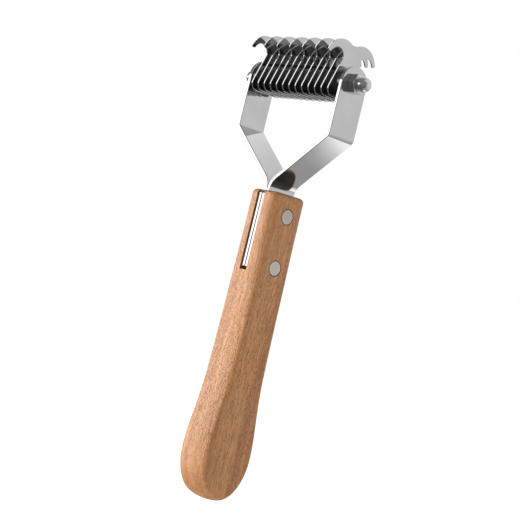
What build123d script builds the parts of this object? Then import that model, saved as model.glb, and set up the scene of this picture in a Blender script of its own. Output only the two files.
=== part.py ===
"""Deshedding rake for pets: a stack of hooked blades on an axle, a bent strip fork and a beech handle.

+Z runs up the handle from the butt, +X along the blade axle, and the coarse teeth face -Y.
The origin is on the handle's centre line at the level of the butt.
"""

from build123d import *
import math
import os

# Fork: two bent steel strips, back to back in the handle
STRIP_WIDTH = 13.2
STRIP_THICKNESS = 1.5
FORK_WIDTH = 54.5
AXLE_Z = 166.5
SHOULDER_Z = 145.0
SPLAY_ANGLE = 51.3
SHOULDER_INNER_RADIUS = 0.8
NECK_OUTER_RADIUS = 5.8
TANG_WIDTH = 16.8
TANG_TOP_Z = 121.2
TANG_END_Z = 90.8
TANG_CORNER_RADIUS = 1.6
STRIP_EDGE_RADIUS = 0.25
AXLE_HOLE_RADIUS = 2.08

# Blade pack
BLADE_COUNT = 13
BLADE_THICKNESS = 0.6
BLADE_PITCH = 3.7
BLADE_BORE_RADIUS = 2.04
BLADE_EDGE_RADIUS = 0.12
ROD_RADIUS = 2.0
SPACER_RADIUS = 6.0
END_CLEARANCE = 0.08

# Blade outline, measured from the axle: y outwards, z up
BLADE_FOOT_HALF_WIDTH = 9.4
BLADE_FOOT_Z = -6.4
BLADE_FOOT_RADIUS = 2.8
BLADE_WAIST_HALF_WIDTH = 4.4
BLADE_WAIST_Z = 8.7
THROAT_RADIUS = 3.4
TIP_LOW_Y = 11.9
TIP_LOW_Z = 9.5
TIP_INNER_ANGLE = 24
TIP_OUTER_ANGLE = 17
CROWN_MIDDLE_ANGLE = 60
CROWN_Y = 5.2
CROWN_Z = 15.8
CROWN_RADIUS = 7.8
SADDLE_Z = 14.6
PLAIN_SHOULDER_START_Z = 7.6

# Acorn nuts
NUT_ACROSS_FLATS = 7.0
NUT_HEX_HEIGHT = 3.2
NUT_NECK_RADIUS = 2.75
NUT_DOME_RADIUS = 2.9
NUT_HEIGHT = 7.7
NUT_BORE_RADIUS = 2.06
NUT_BORE_DEPTH = 5.6
NUT_BEVEL = 0.35
ROD_END_GAP = 0.3
ROD_BEVEL = 0.4

# Handle
HANDLE_TOP_Z = 121.2
HANDLE_THICKNESS = 16.0
HANDLE_EDGE_RADIUS = 1.8
WAIST_Z = 90.2
BELLY_Z = 60.2
SWELL_Z = 38.2
PALM_Z = 18.2
SLOT_FLOOR_Z = 89.4
SLOT_GAP = 1.0
RIVET_RADIUS = 2.95
RIVET_HEIGHTS = (92.4, 112.7)
RIVET_HOLE_GAP = 0.2
RIVET_FIT = 0.02
RIVET_RIM_RADIUS = 0.35

INNER_FACE_X = FORK_WIDTH / 2 - STRIP_THICKNESS
CROWN_CENTRE = (CROWN_Y, CROWN_Z - CROWN_RADIUS)
SPACER_LENGTH = BLADE_PITCH - BLADE_THICKNESS
PACK_HALF_LENGTH = (BLADE_COUNT - 1) / 2 * BLADE_PITCH + BLADE_THICKNESS / 2
NUT_SEAT_X = FORK_WIDTH / 2 + END_CLEARANCE


def x_cylinder(radius, x_start, x_end, y=0.0, z=AXLE_Z):
    """A cylinder lying along X between two stations."""
    length = x_end - x_start
    body = Cylinder(radius, length, rotation=(0, 90, 0))
    return Pos((x_start + x_end) / 2, y, z) * body


def arm_profile():
    """Side view of the right arm in (x, z): upright, sloping neck, then the tang in the handle."""
    slope = math.tan(math.radians(SPLAY_ANGLE))
    corner_rise = STRIP_THICKNESS * math.tan(math.radians(SPLAY_ANGLE / 2))
    outer_x = FORK_WIDTH / 2
    neck_z = SHOULDER_Z - (outer_x - STRIP_THICKNESS) / slope
    top_z = AXLE_Z + STRIP_WIDTH / 2
    corners = [
        (outer_x, top_z),
        (outer_x, SHOULDER_Z),
        (STRIP_THICKNESS, neck_z),
        (STRIP_THICKNESS, TANG_END_Z),
        (0, TANG_END_Z),
        (0, neck_z + corner_rise),
        (INNER_FACE_X, SHOULDER_Z + corner_rise),
        (INNER_FACE_X, top_z),
    ]
    face = make_face(Polyline(*corners, close=True))
    radii = {
        corners[1]: SHOULDER_INNER_RADIUS + STRIP_THICKNESS,
        corners[2]: NECK_OUTER_RADIUS,
        corners[5]: NECK_OUTER_RADIUS + STRIP_THICKNESS,
        corners[6]: SHOULDER_INNER_RADIUS,
    }
    for (x, z), radius in radii.items():
        corner = face.vertices().sort_by_distance((x, z, 0))[0]
        face = fillet([corner], radius)
    return face


def tang():
    """The wide part of the strip that lies in the handle's saw cut, with rounded corners and edges."""
    height = TANG_TOP_Z - TANG_END_Z
    plate = Box(STRIP_THICKNESS, TANG_WIDTH, height)
    plate = Pos(STRIP_THICKNESS / 2, 0, TANG_END_Z + height / 2) * plate
    shoulders = plate.edges().filter_by(Axis.X).sort_by(Axis.Z)[-2:]
    plate = fillet(shoulders, TANG_CORNER_RADIUS)
    faces = plate.faces().filter_by(Axis.X)
    return fillet(list({e for f in faces for e in f.edges()}), STRIP_EDGE_RADIUS)


def fork_arm():
    """The right arm: a bent strip with a round top end, its tang, and holes for axle and rivets."""
    strip = extrude(Plane.XZ * arm_profile(), amount=STRIP_WIDTH / 2, both=True)
    end_box = Pos(0, 0, AXLE_Z + STRIP_WIDTH / 2) * Box(3 * FORK_WIDTH, STRIP_WIDTH, STRIP_WIDTH)
    end_round = x_cylinder(STRIP_WIDTH / 2, 0, FORK_WIDTH)
    strip -= end_box - end_round
    long_edges = [e for e in strip.edges() if abs(abs(e.center().Y) - STRIP_WIDTH / 2) < 0.01]
    end_edges = [e for e in strip.edges() if e.center().Z > AXLE_Z + 1 and e.length > STRIP_WIDTH]
    arm = fillet(long_edges + end_edges, STRIP_EDGE_RADIUS) + tang()
    arm -= x_cylinder(AXLE_HOLE_RADIUS, 0, FORK_WIDTH)
    for z in RIVET_HEIGHTS:
        arm -= x_cylinder(RIVET_RADIUS + RIVET_FIT, -FORK_WIDTH, FORK_WIDTH, z=z)
    return arm


def taper_point(side, z):
    """A point on the straight edge that narrows from the blade's foot to its waist."""
    rise = BLADE_WAIST_Z - BLADE_FOOT_Z
    share = (z - BLADE_FOOT_Z) / rise
    half = BLADE_FOOT_HALF_WIDTH + share * (BLADE_WAIST_HALF_WIDTH - BLADE_FOOT_HALF_WIDTH)
    return (side * half, z)


def taper_direction(side):
    """Unit direction up a blade's straight edge."""
    run = side * (BLADE_WAIST_HALF_WIDTH - BLADE_FOOT_HALF_WIDTH)
    rise = BLADE_WAIST_Z - BLADE_FOOT_Z
    length = math.hypot(run, rise)
    return (run / length, rise / length)


def plain_shoulder_end(start_z):
    """Where the round shoulder of a one-sided blade runs smoothly into its crown."""
    start = Vector(*taper_point(-1, start_z))
    along = Vector(*taper_direction(-1))
    inward = Vector(along.Y, -along.X)
    away = start - Vector(*CROWN_CENTRE)
    radius = (CROWN_RADIUS**2 - away.dot(away)) / (2 * (away.dot(inward) + CROWN_RADIUS))
    to_centre = away + inward * radius
    end = Vector(*CROWN_CENTRE) - to_centre.normalized() * CROWN_RADIUS
    return (end.X, end.Y)


def saddle_radius():
    """Radius of the shallow hollow in the middle of a blade's top edge, tangent to both crowns."""
    lift = SADDLE_Z - CROWN_CENTRE[1]
    return (CROWN_Y**2 + lift**2 - CROWN_RADIUS**2) / (2 * (CROWN_RADIUS - lift))


def saddle_point(y):
    """A point in the hollow at a distance from the blade's middle."""
    radius = saddle_radius()
    return (y, SADDLE_Z + radius - math.sqrt(radius**2 - y**2))


def crown_join():
    """Where a crown's round back meets the hollow between the crowns."""
    return saddle_point(CROWN_Y * saddle_radius() / (CROWN_RADIUS + saddle_radius()))


def circle_point(side, centre, radius, degrees):
    """A point on a circle centred at (y, z), at an angle above level, on the blade's +Y or -Y half."""
    angle = math.radians(degrees)
    return (side * (centre[0] + radius * math.cos(angle)), centre[1] + radius * math.sin(angle))


def hook_edges(side):
    """The hooked half of a blade's edge, from its waist round the throat and tip to the hollow."""
    throat = (BLADE_WAIST_HALF_WIDTH + THROAT_RADIUS, BLADE_WAIST_Z)
    waist = taper_point(side, BLADE_WAIST_Z)
    throat_top = circle_point(side, throat, THROAT_RADIUS, 90)
    tip_inner = circle_point(side, throat, THROAT_RADIUS, TIP_INNER_ANGLE)
    tip_outer = circle_point(side, CROWN_CENTRE, CROWN_RADIUS, TIP_OUTER_ANGLE)
    back = circle_point(side, CROWN_CENTRE, CROWN_RADIUS, CROWN_MIDDLE_ANGLE)
    join_y, join_z = crown_join()
    return [
        ThreePointArc(waist, throat_top, tip_inner),
        ThreePointArc(tip_inner, (side * TIP_LOW_Y, TIP_LOW_Z), tip_outer),
        ThreePointArc(tip_outer, back, (side * join_y, join_z)),
    ]


def break_edges(face, x):
    """A blade plate cut from its outline, with the edges broken all round except along its middle."""
    plate = extrude(Plane.YZ * face, amount=BLADE_THICKNESS / 2, both=True)
    faces = plate.faces().sort_by(Axis.X)
    rims = [e for f in (faces[0], faces[-1]) for e in f.outer_wire().edges()]
    rims = [e for e in rims if e.bounding_box().size.Y > BLADE_EDGE_RADIUS]
    return Pos(x, 0, AXLE_Z) * fillet(rims, BLADE_EDGE_RADIUS)


def double_hook_blade(x):
    """A blade with a hook on each side: one half, mirrored about its middle."""
    join = crown_join()
    foot = (0, BLADE_FOOT_Z)
    corner = taper_point(1, BLADE_FOOT_Z)
    outline = [
        Line(foot, corner),
        Line(corner, taper_point(1, BLADE_WAIST_Z)),
        *hook_edges(1),
        ThreePointArc(join, saddle_point(join[0] / 2), (0, SADDLE_Z)),
        Line((0, SADDLE_Z), foot),
    ]
    face = make_face(Curve() + outline)
    face = fillet(face.vertices().sort_by_distance(corner)[0], BLADE_FOOT_RADIUS)
    half = break_edges(face - Circle(BLADE_BORE_RADIUS), x)
    return half + mirror(half, about=Plane.XZ)


def single_hook_blade(x):
    """A blade with a hook on +Y only; its -Y side runs up in a plain round shoulder."""
    corners = [taper_point(side, BLADE_FOOT_Z) for side in (-1, 1)]
    start = taper_point(-1, PLAIN_SHOULDER_START_Z)
    shoulder_end = plain_shoulder_end(PLAIN_SHOULDER_START_Z)
    back = circle_point(1, CROWN_CENTRE, CROWN_RADIUS, CROWN_MIDDLE_ANGLE)
    throat, tip, crown = hook_edges(1)
    outline = [
        Line(corners[0], corners[1]),
        Line(corners[1], taper_point(1, BLADE_WAIST_Z)),
        throat,
        tip,
        ThreePointArc(crown @ 0, back, shoulder_end),
        TangentArc(start, shoulder_end, tangent=taper_direction(-1)),
        Line(corners[0], start),
    ]
    face = make_face(Curve() + outline)
    face = fillet(face.vertices().group_by(Axis.Y)[0], BLADE_FOOT_RADIUS)
    return break_edges(face - Circle(BLADE_BORE_RADIUS), x)


def spacer(x_start, x_end):
    """A plain ring on the rod."""
    return x_cylinder(SPACER_RADIUS, x_start, x_end) - x_cylinder(BLADE_BORE_RADIUS, x_start, x_end)


def axle_rod():
    """The rod through the blades, both arms and into both nuts, with bevelled ends."""
    half = NUT_SEAT_X + NUT_BORE_DEPTH - ROD_END_GAP
    rod = x_cylinder(ROD_RADIUS, -half, half)
    return chamfer(rod.edges().filter_by(GeomType.CIRCLE), ROD_BEVEL)


def cap_nut():
    """The right acorn nut: a hexagon with rounded corners, a short neck and a dome, with a blind bore."""
    corner_radius = NUT_ACROSS_FLATS / math.sqrt(3)
    prism = extrude(RegularPolygon(corner_radius, 6, rotation=30), NUT_HEX_HEIGHT)
    corner_cone = [
        (0, 0),
        (corner_radius - NUT_BEVEL, 0),
        (corner_radius, NUT_BEVEL),
        (corner_radius, NUT_HEX_HEIGHT - NUT_BEVEL),
        (corner_radius - 2 * NUT_BEVEL, NUT_HEX_HEIGHT),
        (0, NUT_HEX_HEIGHT),
    ]
    hexagon = prism & revolve(Plane.XZ * make_face(Polyline(*corner_cone, close=True)), Axis.Z)
    dome_z = NUT_HEIGHT - NUT_DOME_RADIUS
    neck = Pos(0, 0, dome_z / 2) * Cylinder(NUT_NECK_RADIUS, dome_z)
    dome = Pos(0, 0, dome_z) * Sphere(NUT_DOME_RADIUS)
    bore = Pos(0, 0, NUT_BORE_DEPTH / 2) * Cylinder(NUT_BORE_RADIUS, NUT_BORE_DEPTH)
    nut = hexagon + neck + dome - bore
    return Location((NUT_SEAT_X, 0, AXLE_Z), (0, 90, 0)) * nut


def handle_outline(top, waist, belly, swell, palm, butt_z):
    """One lengthwise outline of the handle in (y, z), from half widths at five levels."""
    side = [
        (top, HANDLE_TOP_Z),
        (waist, WAIST_Z),
        (belly, BELLY_Z),
        (swell, SWELL_Z),
        (palm, PALM_Z),
    ]
    right = Spline(*side, tangents=[(0, -1), (0, -1)])
    left = Spline(*[(-y, z) for y, z in reversed(side)], tangents=[(0, 1), (0, 1)])
    depth = PALM_Z - butt_z
    butt = [EllipticalCenterArc((0, PALM_Z), palm, depth, start, arc_size=90) for start in (180, 270)]
    top_edge = Line((-top, HANDLE_TOP_Z), (top, HANDLE_TOP_Z))
    return make_face(Curve() + [right, *butt, left, top_edge])


def handle():
    """The wooden grip: flat cheeks, crowned edges, a saw cut for the fork and two rivet holes."""
    cheek = HANDLE_THICKNESS / 2
    stations = [
        (cheek, (5.3, 6.7, 7.6, 8.8, 10.9, 1.25)),
        (0.8 * cheek, (7.75, 7.85, 8.3, 9.6, 11.7, 0.7)),
        (0.45 * cheek, (8.45, 8.5, 8.85, 10.2, 12.4, 0.2)),
        (0, (8.6, 8.65, 9.05, 10.4, 12.7, 0.0)),
    ]
    outlines = [(-x, sizes) for x, sizes in stations] + [(x, sizes) for x, sizes in stations[-2::-1]]
    sections = [Pos(x, 0, 0) * (Plane.YZ * handle_outline(*sizes)) for x, sizes in outlines]
    grip = loft(sections)
    cheeks = grip.faces().sort_by(Axis.X)
    top_face = grip.faces().sort_by(Axis.Z)[-1]
    rims = ShapeList(e for f in (cheeks[0], cheeks[-1], top_face) for e in f.edges())
    grip = fillet(list(set(rims)), HANDLE_EDGE_RADIUS)
    slot_length = HANDLE_TOP_Z - SLOT_FLOOR_Z
    slot_width = 2 * STRIP_THICKNESS + SLOT_GAP
    slot_centre = (-SLOT_GAP / 2, 0, SLOT_FLOOR_Z + slot_length)
    grip -= Pos(*slot_centre) * Box(slot_width, 4 * HANDLE_THICKNESS, 2 * slot_length)
    for z in RIVET_HEIGHTS:
        grip -= x_cylinder(RIVET_RADIUS + RIVET_HOLE_GAP, -HANDLE_THICKNESS, HANDLE_THICKNESS, z=z)
    return grip


def handle_rivet(z):
    """A solid rivet through both cheeks and both tangs, its ends flush and slightly rounded."""
    half = HANDLE_THICKNESS / 2
    rivet = x_cylinder(RIVET_RADIUS, -half, half, z=z)
    return fillet(rivet.edges().filter_by(GeomType.CIRCLE), RIVET_RIM_RADIUS)


def pack_nodes():
    """The blades and the rings between them, named by their place from the left."""
    nodes = {}
    for index in range(BLADE_COUNT):
        x = (index - (BLADE_COUNT - 1) / 2) * BLADE_PITCH
        if index % 2 == 0:
            nodes[f"double_hook_blade_{index + 1:02d}"] = double_hook_blade(x)
        else:
            nodes[f"single_hook_blade_{index + 1:02d}"] = single_hook_blade(x)
        if index < BLADE_COUNT - 1:
            start = x + BLADE_THICKNESS / 2
            nodes[f"spacer_ring_{index + 1:02d}"] = spacer(start, start + SPACER_LENGTH)
    end = INNER_FACE_X - END_CLEARANCE
    nodes["end_ring_right"] = spacer(PACK_HALF_LENGTH, end)
    nodes["end_ring_left"] = spacer(-end, -PACK_HALF_LENGTH)
    return nodes


def all_nodes():
    """Every sub-part by its node name."""
    right_arm = fork_arm()
    right_nut = cap_nut()
    nodes = {
        "handle": handle(),
        "handle_rivet_lower": handle_rivet(RIVET_HEIGHTS[0]),
        "handle_rivet_upper": handle_rivet(RIVET_HEIGHTS[1]),
        "fork_arm_right": right_arm,
        "fork_arm_left": mirror(right_arm, about=Plane.YZ),
        "axle_rod": axle_rod(),
        "cap_nut_right": right_nut,
        "cap_nut_left": mirror(right_nut, about=Plane.YZ),
    }
    nodes.update(pack_nodes())
    return nodes


os.makedirs("parts", exist_ok=True)
for name, solid in all_nodes().items():
    export_step(solid, f"parts/{name}.step")
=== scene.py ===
import math

import bpy
from mathutils import Matrix, Vector


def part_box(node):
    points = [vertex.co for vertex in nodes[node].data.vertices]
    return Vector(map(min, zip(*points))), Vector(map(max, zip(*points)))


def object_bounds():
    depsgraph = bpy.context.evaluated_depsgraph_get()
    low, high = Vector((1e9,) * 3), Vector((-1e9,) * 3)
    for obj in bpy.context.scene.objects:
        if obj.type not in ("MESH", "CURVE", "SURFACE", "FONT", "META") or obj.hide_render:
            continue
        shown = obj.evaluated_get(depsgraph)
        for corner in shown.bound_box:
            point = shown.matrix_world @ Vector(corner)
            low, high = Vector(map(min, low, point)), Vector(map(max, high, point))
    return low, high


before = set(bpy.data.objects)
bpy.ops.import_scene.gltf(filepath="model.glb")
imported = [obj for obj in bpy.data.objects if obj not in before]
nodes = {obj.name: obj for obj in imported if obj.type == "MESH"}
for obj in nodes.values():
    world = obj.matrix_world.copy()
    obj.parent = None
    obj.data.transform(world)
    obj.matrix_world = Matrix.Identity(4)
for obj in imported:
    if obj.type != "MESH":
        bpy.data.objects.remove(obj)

# Every length is in metres and every angle in degrees. Colours are linear.
scene = bpy.context.scene
cad_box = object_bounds()
middle = (cad_box[0] + cad_box[1]) / 2


# ---------------------------------------------------------------- node helpers

class Graph:
    """A node tree that is built with short calls."""

    def __init__(self, tree):
        self.tree = tree
        tree.nodes.clear()

    def add(self, kind, settings=None, **inputs):
        """A new node, with its settings and with its inputs set or wired by name."""
        node = self.tree.nodes.new("ShaderNode" + kind)
        for name, value in (settings or {}).items():
            setattr(node, name, value)
        for name, value in inputs.items():
            self.put(node, name.replace("_", " "), value)
        return node

    def put(self, node, name, value):
        """Wire an output to an input, or set the input; `name` may be its number."""
        socket = node.inputs[name]
        if isinstance(value, bpy.types.NodeSocket):
            self.tree.links.new(value, socket)
        else:
            socket.default_value = value

    def math(self, operation, a, b=None):
        node = self.add("Math", {"operation": operation})
        self.put(node, 0, a)
        if b is not None:
            self.put(node, 1, b)
        return node.outputs[0]

    def dot(self, vector, fixed):
        node = self.add("VectorMath", {"operation": "DOT_PRODUCT"})
        self.put(node, 0, vector)
        self.put(node, 1, fixed)
        return node.outputs["Value"]

    def span(self, value, low, high, to_low=0.0, to_high=1.0, smooth=True):
        """`to_low` up to `low`, `to_high` from `high`, and a ramp between them."""
        kind = "SMOOTHSTEP" if smooth else "LINEAR"
        node = self.add("MapRange", {"interpolation_type": kind, "clamp": True}, Value=value)
        for name, limit in (("From Min", low), ("From Max", high), ("To Min", to_low), ("To Max", to_high)):
            self.put(node, name, limit)
        return node.outputs["Result"]

    def mix(self, share, a, b, blend="MIX"):
        node = self.add("Mix", {"data_type": "RGBA", "blend_type": blend})
        share_input, a_input, b_input, colour_output = 0, 6, 7, 2
        self.put(node, share_input, share)
        self.put(node, a_input, a)
        self.put(node, b_input, b)
        return node.outputs[colour_output]

    def place(self):
        """A surface point's X, Y and Z."""
        return self.add("SeparateXYZ", None, Vector=self.add("TexCoord").outputs["Object"]).outputs

    def noise(self, cells, detail, rough=0.5, distortion=0.0, shift=(0, 0, 0)):
        """Noise with `cells` per metre along X, Y and Z."""
        coords = self.add("TexCoord").outputs["Object"]
        mapping = self.add("Mapping", None, Vector=coords, Scale=cells, Location=shift)
        node = self.add(
            "TexNoise", None, Vector=mapping.outputs["Vector"], Scale=1.0,
            Detail=detail, Roughness=rough, Distortion=distortion,
        )
        return node.outputs["Fac"]


def material(name):
    made = bpy.data.materials.new(name)
    made.use_nodes = True
    graph = Graph(made.node_tree)
    shader = graph.add("BsdfPrincipled")
    graph.add("OutputMaterial", None, Surface=shader.outputs["BSDF"])
    return made, graph, shader


def rgb(r, g, b):
    return (r, g, b, 1.0)


def grey(level):
    return rgb(level, level, level)


# ---------------------------------------------------------------- materials

def beech(top_z):
    """Oiled beech: long stripes, dark fibres and flecks, and dark end grain at the top."""
    made, g, shader = material("beech")
    stripes = g.noise((210, 210, 7), detail=4, rough=0.55, distortion=0.6)
    fibre = g.noise((1900, 1900, 110), detail=4, rough=0.65)
    mottle = g.noise((900, 900, 330), detail=3, rough=0.6, shift=(9, 1, 4))
    cloud = g.noise((60, 60, 22), detail=2, shift=(3, 7, 1))
    fleck = g.span(g.noise((4300, 4300, 800), detail=1.5, rough=0.55, shift=(11, 5, 2)), 0.56, 0.66)
    end_grain = g.span(g.place()["Z"], top_z - 0.0005, top_z - 0.0001)

    layers = [  # where, how strongly, and which colour
        (g.span(fibre, 0.42, 0.66), 0.7, rgb(0.235, 0.091, 0.028)),
        (g.span(mottle, 0.5, 0.70), 0.32, rgb(0.52, 0.26, 0.098)),
        (g.span(cloud, 0.4, 0.7), 0.22, rgb(0.40, 0.172, 0.058)),
        (fleck, 0.62, rgb(0.13, 0.048, 0.015)),
        (end_grain, 1.0, rgb(0.075, 0.058, 0.046)),
    ]
    tone = g.mix(g.span(stripes, 0.32, 0.68), rgb(0.315, 0.130, 0.039), rgb(0.465, 0.216, 0.077))
    for where, strength, colour in layers:
        tone = g.mix(g.math("MULTIPLY", where, strength), tone, colour)
    g.put(shader, "Base Color", tone)
    shader.inputs["Specular IOR Level"].default_value = 0.42
    g.put(shader, "Roughness", g.span(fibre, 0.3, 0.75, 0.36, 0.54))

    height = g.math("ADD", g.math("MULTIPLY", mottle, 0.55), g.math("MULTIPLY", fleck, -0.6))
    height = g.math("ADD", height, g.math("MULTIPLY", fibre, 0.8))
    bump = g.add("Bump", None, Strength=0.6, Distance=0.00036, Height=height)
    g.put(shader, "Normal", bump.outputs["Normal"])
    return made


def joint_line(g):
    """The line between the two strips, on their edges where they lie in the handle."""
    place = g.place()
    beside_joint = g.span(g.math("ABSOLUTE", place["X"]), 0.00022, 0.00034, 1.0, 0.0)
    on_edge = g.span(g.math("ABSOLUTE", place["Y"]), 0.00795, 0.00805)
    return g.math("MULTIPLY", beside_joint, on_edge)


def steel(name, level, rough, grain_cells, relief=0.0, with_joint_line=False):
    """Polished metal of one grey `level`, clouded slightly, with a fine grain in its gloss."""
    made, g, shader = material(name)
    cloud = g.noise((90, 90, 90), detail=3)
    grain = g.noise(grain_cells, detail=2, rough=0.6)
    tone = g.mix(g.span(cloud, 0.35, 0.65), grey(level * 0.97), grey(level * 1.03))
    gloss = g.math("ADD", g.span(cloud, 0.3, 0.7, *rough), g.span(grain, 0.35, 0.75, 0.0, 0.02))
    if with_joint_line:
        line = joint_line(g)
        tone = g.mix(line, tone, rgb(0.05, 0.045, 0.04))
        gloss = g.math("ADD", gloss, g.math("MULTIPLY", line, 0.6))
    g.put(shader, "Base Color", tone)
    g.put(shader, "Roughness", gloss)
    shader.inputs["Metallic"].default_value = 1.0
    if relief:
        bump = g.add("Bump", None, Strength=relief, Distance=0.00002, Height=grain)
        g.put(shader, "Normal", bump.outputs["Normal"])
    return made


def rivet_metal():
    """Aluminium ground flush with the wood: matt, warm and speckled."""
    made, g, shader = material("rivet_aluminium")
    speck = g.noise((2600, 2600, 2600), detail=3, rough=0.65)
    cloud = g.noise((420, 420, 420), detail=2)
    tone = g.mix(g.span(speck, 0.35, 0.68), rgb(0.36, 0.325, 0.285), rgb(0.54, 0.495, 0.45))
    tone = g.mix(g.math("MULTIPLY", g.span(cloud, 0.4, 0.7), 0.3), tone, rgb(0.38, 0.345, 0.305))
    g.put(shader, "Base Color", tone)
    shader.inputs["Metallic"].default_value = 0.85
    g.put(shader, "Roughness", g.span(speck, 0.3, 0.7, 0.42, 0.58))
    bump = g.add("Bump", None, Strength=0.3, Distance=0.00005, Height=speck)
    g.put(shader, "Normal", bump.outputs["Normal"])
    return made


finishes = {
    "beech": beech(top_z=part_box("handle")[1].z),
    "strip_steel": steel("strip_steel", 0.50, (0.04, 0.07), (1800, 1800, 60), 0.05, with_joint_line=True),
    "blade_steel": steel("blade_steel", 0.50, (0.012, 0.022), (60, 1800, 1800)),
    "ring_steel": steel("ring_steel", 0.11, (0.10, 0.14), (1500, 200, 200)),
    "nut_chrome": steel("nut_chrome", 0.56, (0.04, 0.08), (1200, 1200, 1200)),
    "rivet_aluminium": rivet_metal(),
}

finish_of = {  # by the start of a node's name; the longest start that fits counts
    "handle_rivet": "rivet_aluminium",
    "handle": "beech",
    "fork_arm": "strip_steel",
    "axle_rod": "ring_steel",
    "cap_nut": "nut_chrome",
    "double_hook_blade": "blade_steel",
    "single_hook_blade": "blade_steel",
    "spacer_ring": "ring_steel",
    "end_ring": "ring_steel",
}
for name, node in nodes.items():
    start = max((s for s in finish_of if name.startswith(s)), key=len)
    node.data.materials.clear()
    node.data.materials.append(finishes[finish_of[start]])


# ---------------------------------------------------------------- camera

camera = bpy.data.objects.new("camera", bpy.data.cameras.new("camera"))
scene.collection.objects.link(camera)
camera.data.sensor_width = 36.0
camera.data.lens = 105.8
camera.data.clip_start = 0.01
camera.data.clip_end = 20
right = Vector((0.6421, 0.7294, 0.2361))
up = Vector((-0.1322, -0.1980, 0.9713))
back = Vector((0.7552, -0.6548, -0.0307))
turn = Matrix((right, up, back)).transposed().to_4x4()
camera.matrix_world = Matrix.Translation((0.44735, -0.38937, 0.07625)) @ turn
scene.camera = camera


# ---------------------------------------------------------------- surroundings

SKY = {0.0: 0.50, 0.13: 0.55, 0.5: 0.99, 0.865: 0.96, 1.0: 1.0}  # greys, from straight down to up
FRONT_LEVEL = 0.30
FAR_LEFT_LEVEL = 0.25


def studio_world():
    """Pale walls, darker in front and to the far left; a camera ray sees plain white."""
    world = bpy.data.worlds.new("studio")
    world.use_nodes = True
    w = Graph(world.node_tree)
    towards = w.add("TexCoord").outputs["Generated"]
    axes = w.add("SeparateXYZ", None, Vector=towards).outputs

    sky = w.add("ValToRGB", None, Fac=w.span(axes["Z"], -1, 1, smooth=False))
    sky.color_ramp.interpolation = "EASE"
    stops = sky.color_ramp.elements
    for spot, level in SKY.items():
        stop = stops[0] if spot == 0 else stops[-1] if spot == 1 else stops.new(spot)
        stop.color = grey(level)

    wall = w.span(axes["Y"], -0.2, 0.5, FRONT_LEVEL, 1.0)
    on_right = w.span(axes["X"], 0.05, 0.5)
    off_front = w.span(w.dot(towards, back), 0.35, 0.85, 1.0, 0.0)
    wall = w.math("MAXIMUM", wall, w.math("MULTIPLY", off_front, on_right))
    wall = w.math("MULTIPLY", wall, w.span(w.dot(towards, -back), 0.6, 0.95, 1.0, FAR_LEFT_LEVEL))

    lit = w.mix(1.0, sky.outputs["Color"], wall, "MULTIPLY")
    seen = w.mix(w.add("LightPath").outputs["Is Camera Ray"], lit, grey(1))
    shade = w.add("Background", None, Color=seen, Strength=1.0)
    w.add("OutputWorld", None, Surface=shade.outputs["Background"])
    return world


scene.world = studio_world()


# ---------------------------------------------------------------- light panels

PANEL_WIDTH = 1.5
PANEL_SIDE = Vector((-0.755, -0.655, 0)).normalized()  # to the left and front of the tool


def soft_panel(name, elevation, distance, height, strength):
    """A light panel aimed at the tool's middle, from `elevation` above it."""
    light = bpy.data.lights.new(name, "AREA")
    light.shape = "RECTANGLE"
    light.size = PANEL_WIDTH
    light.size_y = height
    light.energy = strength * PANEL_WIDTH * height * math.pi
    panel = bpy.data.objects.new(name, light)
    scene.collection.objects.link(panel)
    tilt = math.radians(elevation)
    out = PANEL_SIDE * math.cos(tilt) + Vector((0, 0, math.sin(tilt)))
    panel.location = middle + out * distance
    panel.rotation_euler = (-out).to_track_quat("-Z", "Y").to_euler()
    panel.visible_camera = False
    return panel


def shine_on(panel, starts):
    """Light only the nodes whose names start with one of `starts`."""
    receivers = bpy.data.collections.new(panel.name + "_receivers")
    for name, node in nodes.items():
        if name.startswith(starts):
            receivers.objects.link(node)
    panel.light_linking.receiver_collection = receivers


# Each panel stands a little further out than the one before, so that none hides another.
key = soft_panel("key_light", elevation=7, distance=0.9, height=0.26, strength=2.3)
blade_light = soft_panel("blade_light", elevation=30, distance=0.93, height=0.9, strength=1.9)
fill = soft_panel("fill_light", elevation=2, distance=0.96, height=1.3, strength=3.8)
wood_light = soft_panel("wood_light", elevation=2, distance=0.99, height=1.3, strength=2.6)
blade_light.visible_diffuse = False
wood_light.visible_diffuse = False
fill.visible_glossy = False
shine_on(key, ("handle", "fork_arm", "axle_rod", "cap_nut", "spacer_ring", "end_ring"))
shine_on(blade_light, ("double_hook", "single_hook"))
shine_on(wood_light, ("handle",))


# ---------------------------------------------------------------- painted reflections: glowing cards

CARD_DISTANCE = 0.06
CARD_LEAD = 0.012
CARD_HALF_WIDTH = 0.04


def glow_material(name, peak):
    """Light from the mesh attribute `fade`, from nothing at 0 to `peak` at 1, on a clear card."""
    made = bpy.data.materials.new(name)
    made.use_nodes = True
    g = Graph(made.node_tree)
    share = g.math("MINIMUM", g.add("Attribute", {"attribute_name": "fade"}).outputs["Fac"], 1.0)
    level = g.math("MULTIPLY", g.math("POWER", share, 2.0), peak)
    both = g.add("AddShader")
    g.put(both, 0, g.add("Emission", None, Strength=level).outputs[0])
    g.put(both, 1, g.add("BsdfTransparent").outputs[0])
    g.add("OutputMaterial", None, Surface=both.outputs[0])
    return made


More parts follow.
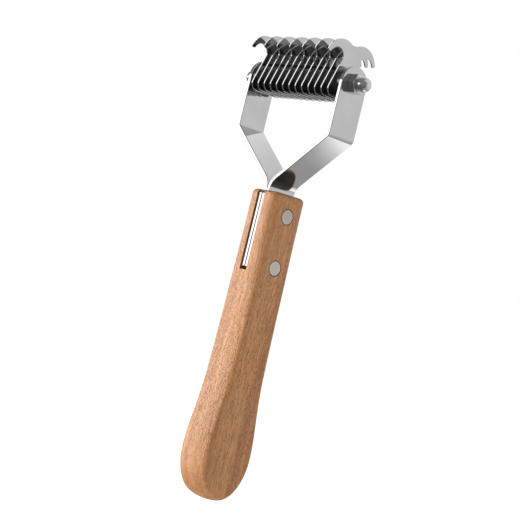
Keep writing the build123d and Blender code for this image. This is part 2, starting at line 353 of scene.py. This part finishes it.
def glow_card(name, start, normal, along, reach, peak):
    """A glowing card, seen only in reflections, that paints a highlight on a flat face as seen from the
    camera: brightest at `start`, fading out over `reach`.
    """
    sight = start - camera.location
    mirrored = sight.normalized().reflect(normal)
    along = (along - along.dot(mirrored) * mirrored).normalized()
    across = mirrored.cross(along)
    length = reach * (1 + CARD_DISTANCE / sight.length)
    foot = start + mirrored * CARD_DISTANCE
    ends = [
        (-CARD_LEAD, -CARD_HALF_WIDTH), (length, -CARD_HALF_WIDTH),
        (length, CARD_HALF_WIDTH), (-CARD_LEAD, CARD_HALF_WIDTH),
    ]
    mesh = bpy.data.meshes.new(name)
    mesh.from_pydata([foot + along * a + across * b for a, b in ends], [], [(0, 1, 2, 3)])
    before_start = 1 + CARD_LEAD / length
    fade = mesh.attributes.new("fade", "FLOAT", "POINT")
    fade.data.foreach_set("value", [before_start, 0, 0, before_start])
    mesh.materials.append(glow_material(name, peak))
    card = bpy.data.objects.new(name, mesh)
    scene.collection.objects.link(card)
    for ray in ("camera", "diffuse", "transmission", "volume_scatter", "shadow"):
        setattr(card, "visible_" + ray, False)


# Two glowing cards paint a reflection on the arms' sloping runs: a highlight that fades down from each
# run's top.
# The arms' sloping runs leave the vertical by 51.3 degrees. Each card's `start` is the run's top.
drop = 0.625
sideways = 0.780
glow_card(
    "painted_reflection_right", start=Vector((0.0266, 0, 0.1443)), reach=0.0165, peak=1.1,
    normal=Vector((drop, 0, -sideways)).normalized(), along=Vector((-sideways, 0, -drop)),
)
glow_card(
    "painted_reflection_left", start=Vector((-0.0254, 0, 0.1454)), reach=0.026, peak=0.36,
    normal=Vector((drop, 0, sideways)).normalized(), along=Vector((sideways, 0, -drop)),
)


# ---------------------------------------------------------------- floor

FLOOR_HALF = 6.0
FLOOR_Z = -0.3


def plain_floor():
    """A pale paper floor that gives off a little light of its own."""
    mesh = bpy.data.meshes.new("floor")
    corners = [(-1, -1), (1, -1), (1, 1), (-1, 1)]
    mesh.from_pydata([(x * FLOOR_HALF, y * FLOOR_HALF, 0) for x, y in corners], [], [(0, 1, 2, 3)])
    made, g, shader = material("floor")
    g.put(shader, "Base Color", g.mix(g.noise((40, 40, 40), detail=2), grey(0.93), grey(0.95)))
    shader.inputs["Roughness"].default_value = 0.9
    shader.inputs["Emission Color"].default_value = grey(1)
    shader.inputs["Emission Strength"].default_value = 0.62
    mesh.materials.append(made)
    floor = bpy.data.objects.new("floor", mesh)
    scene.collection.objects.link(floor)
    floor.location = (0, 0, FLOOR_Z)
    floor.visible_glossy = False


plain_floor()

# The gaps between the blades are dark because light crosses them many times before it leaves.
BLADE_BOUNCES = 8
scene.cycles.glossy_bounces = BLADE_BOUNCES
scene.cycles.min_light_bounces = BLADE_BOUNCES
scene.view_settings.view_transform = "Standard"
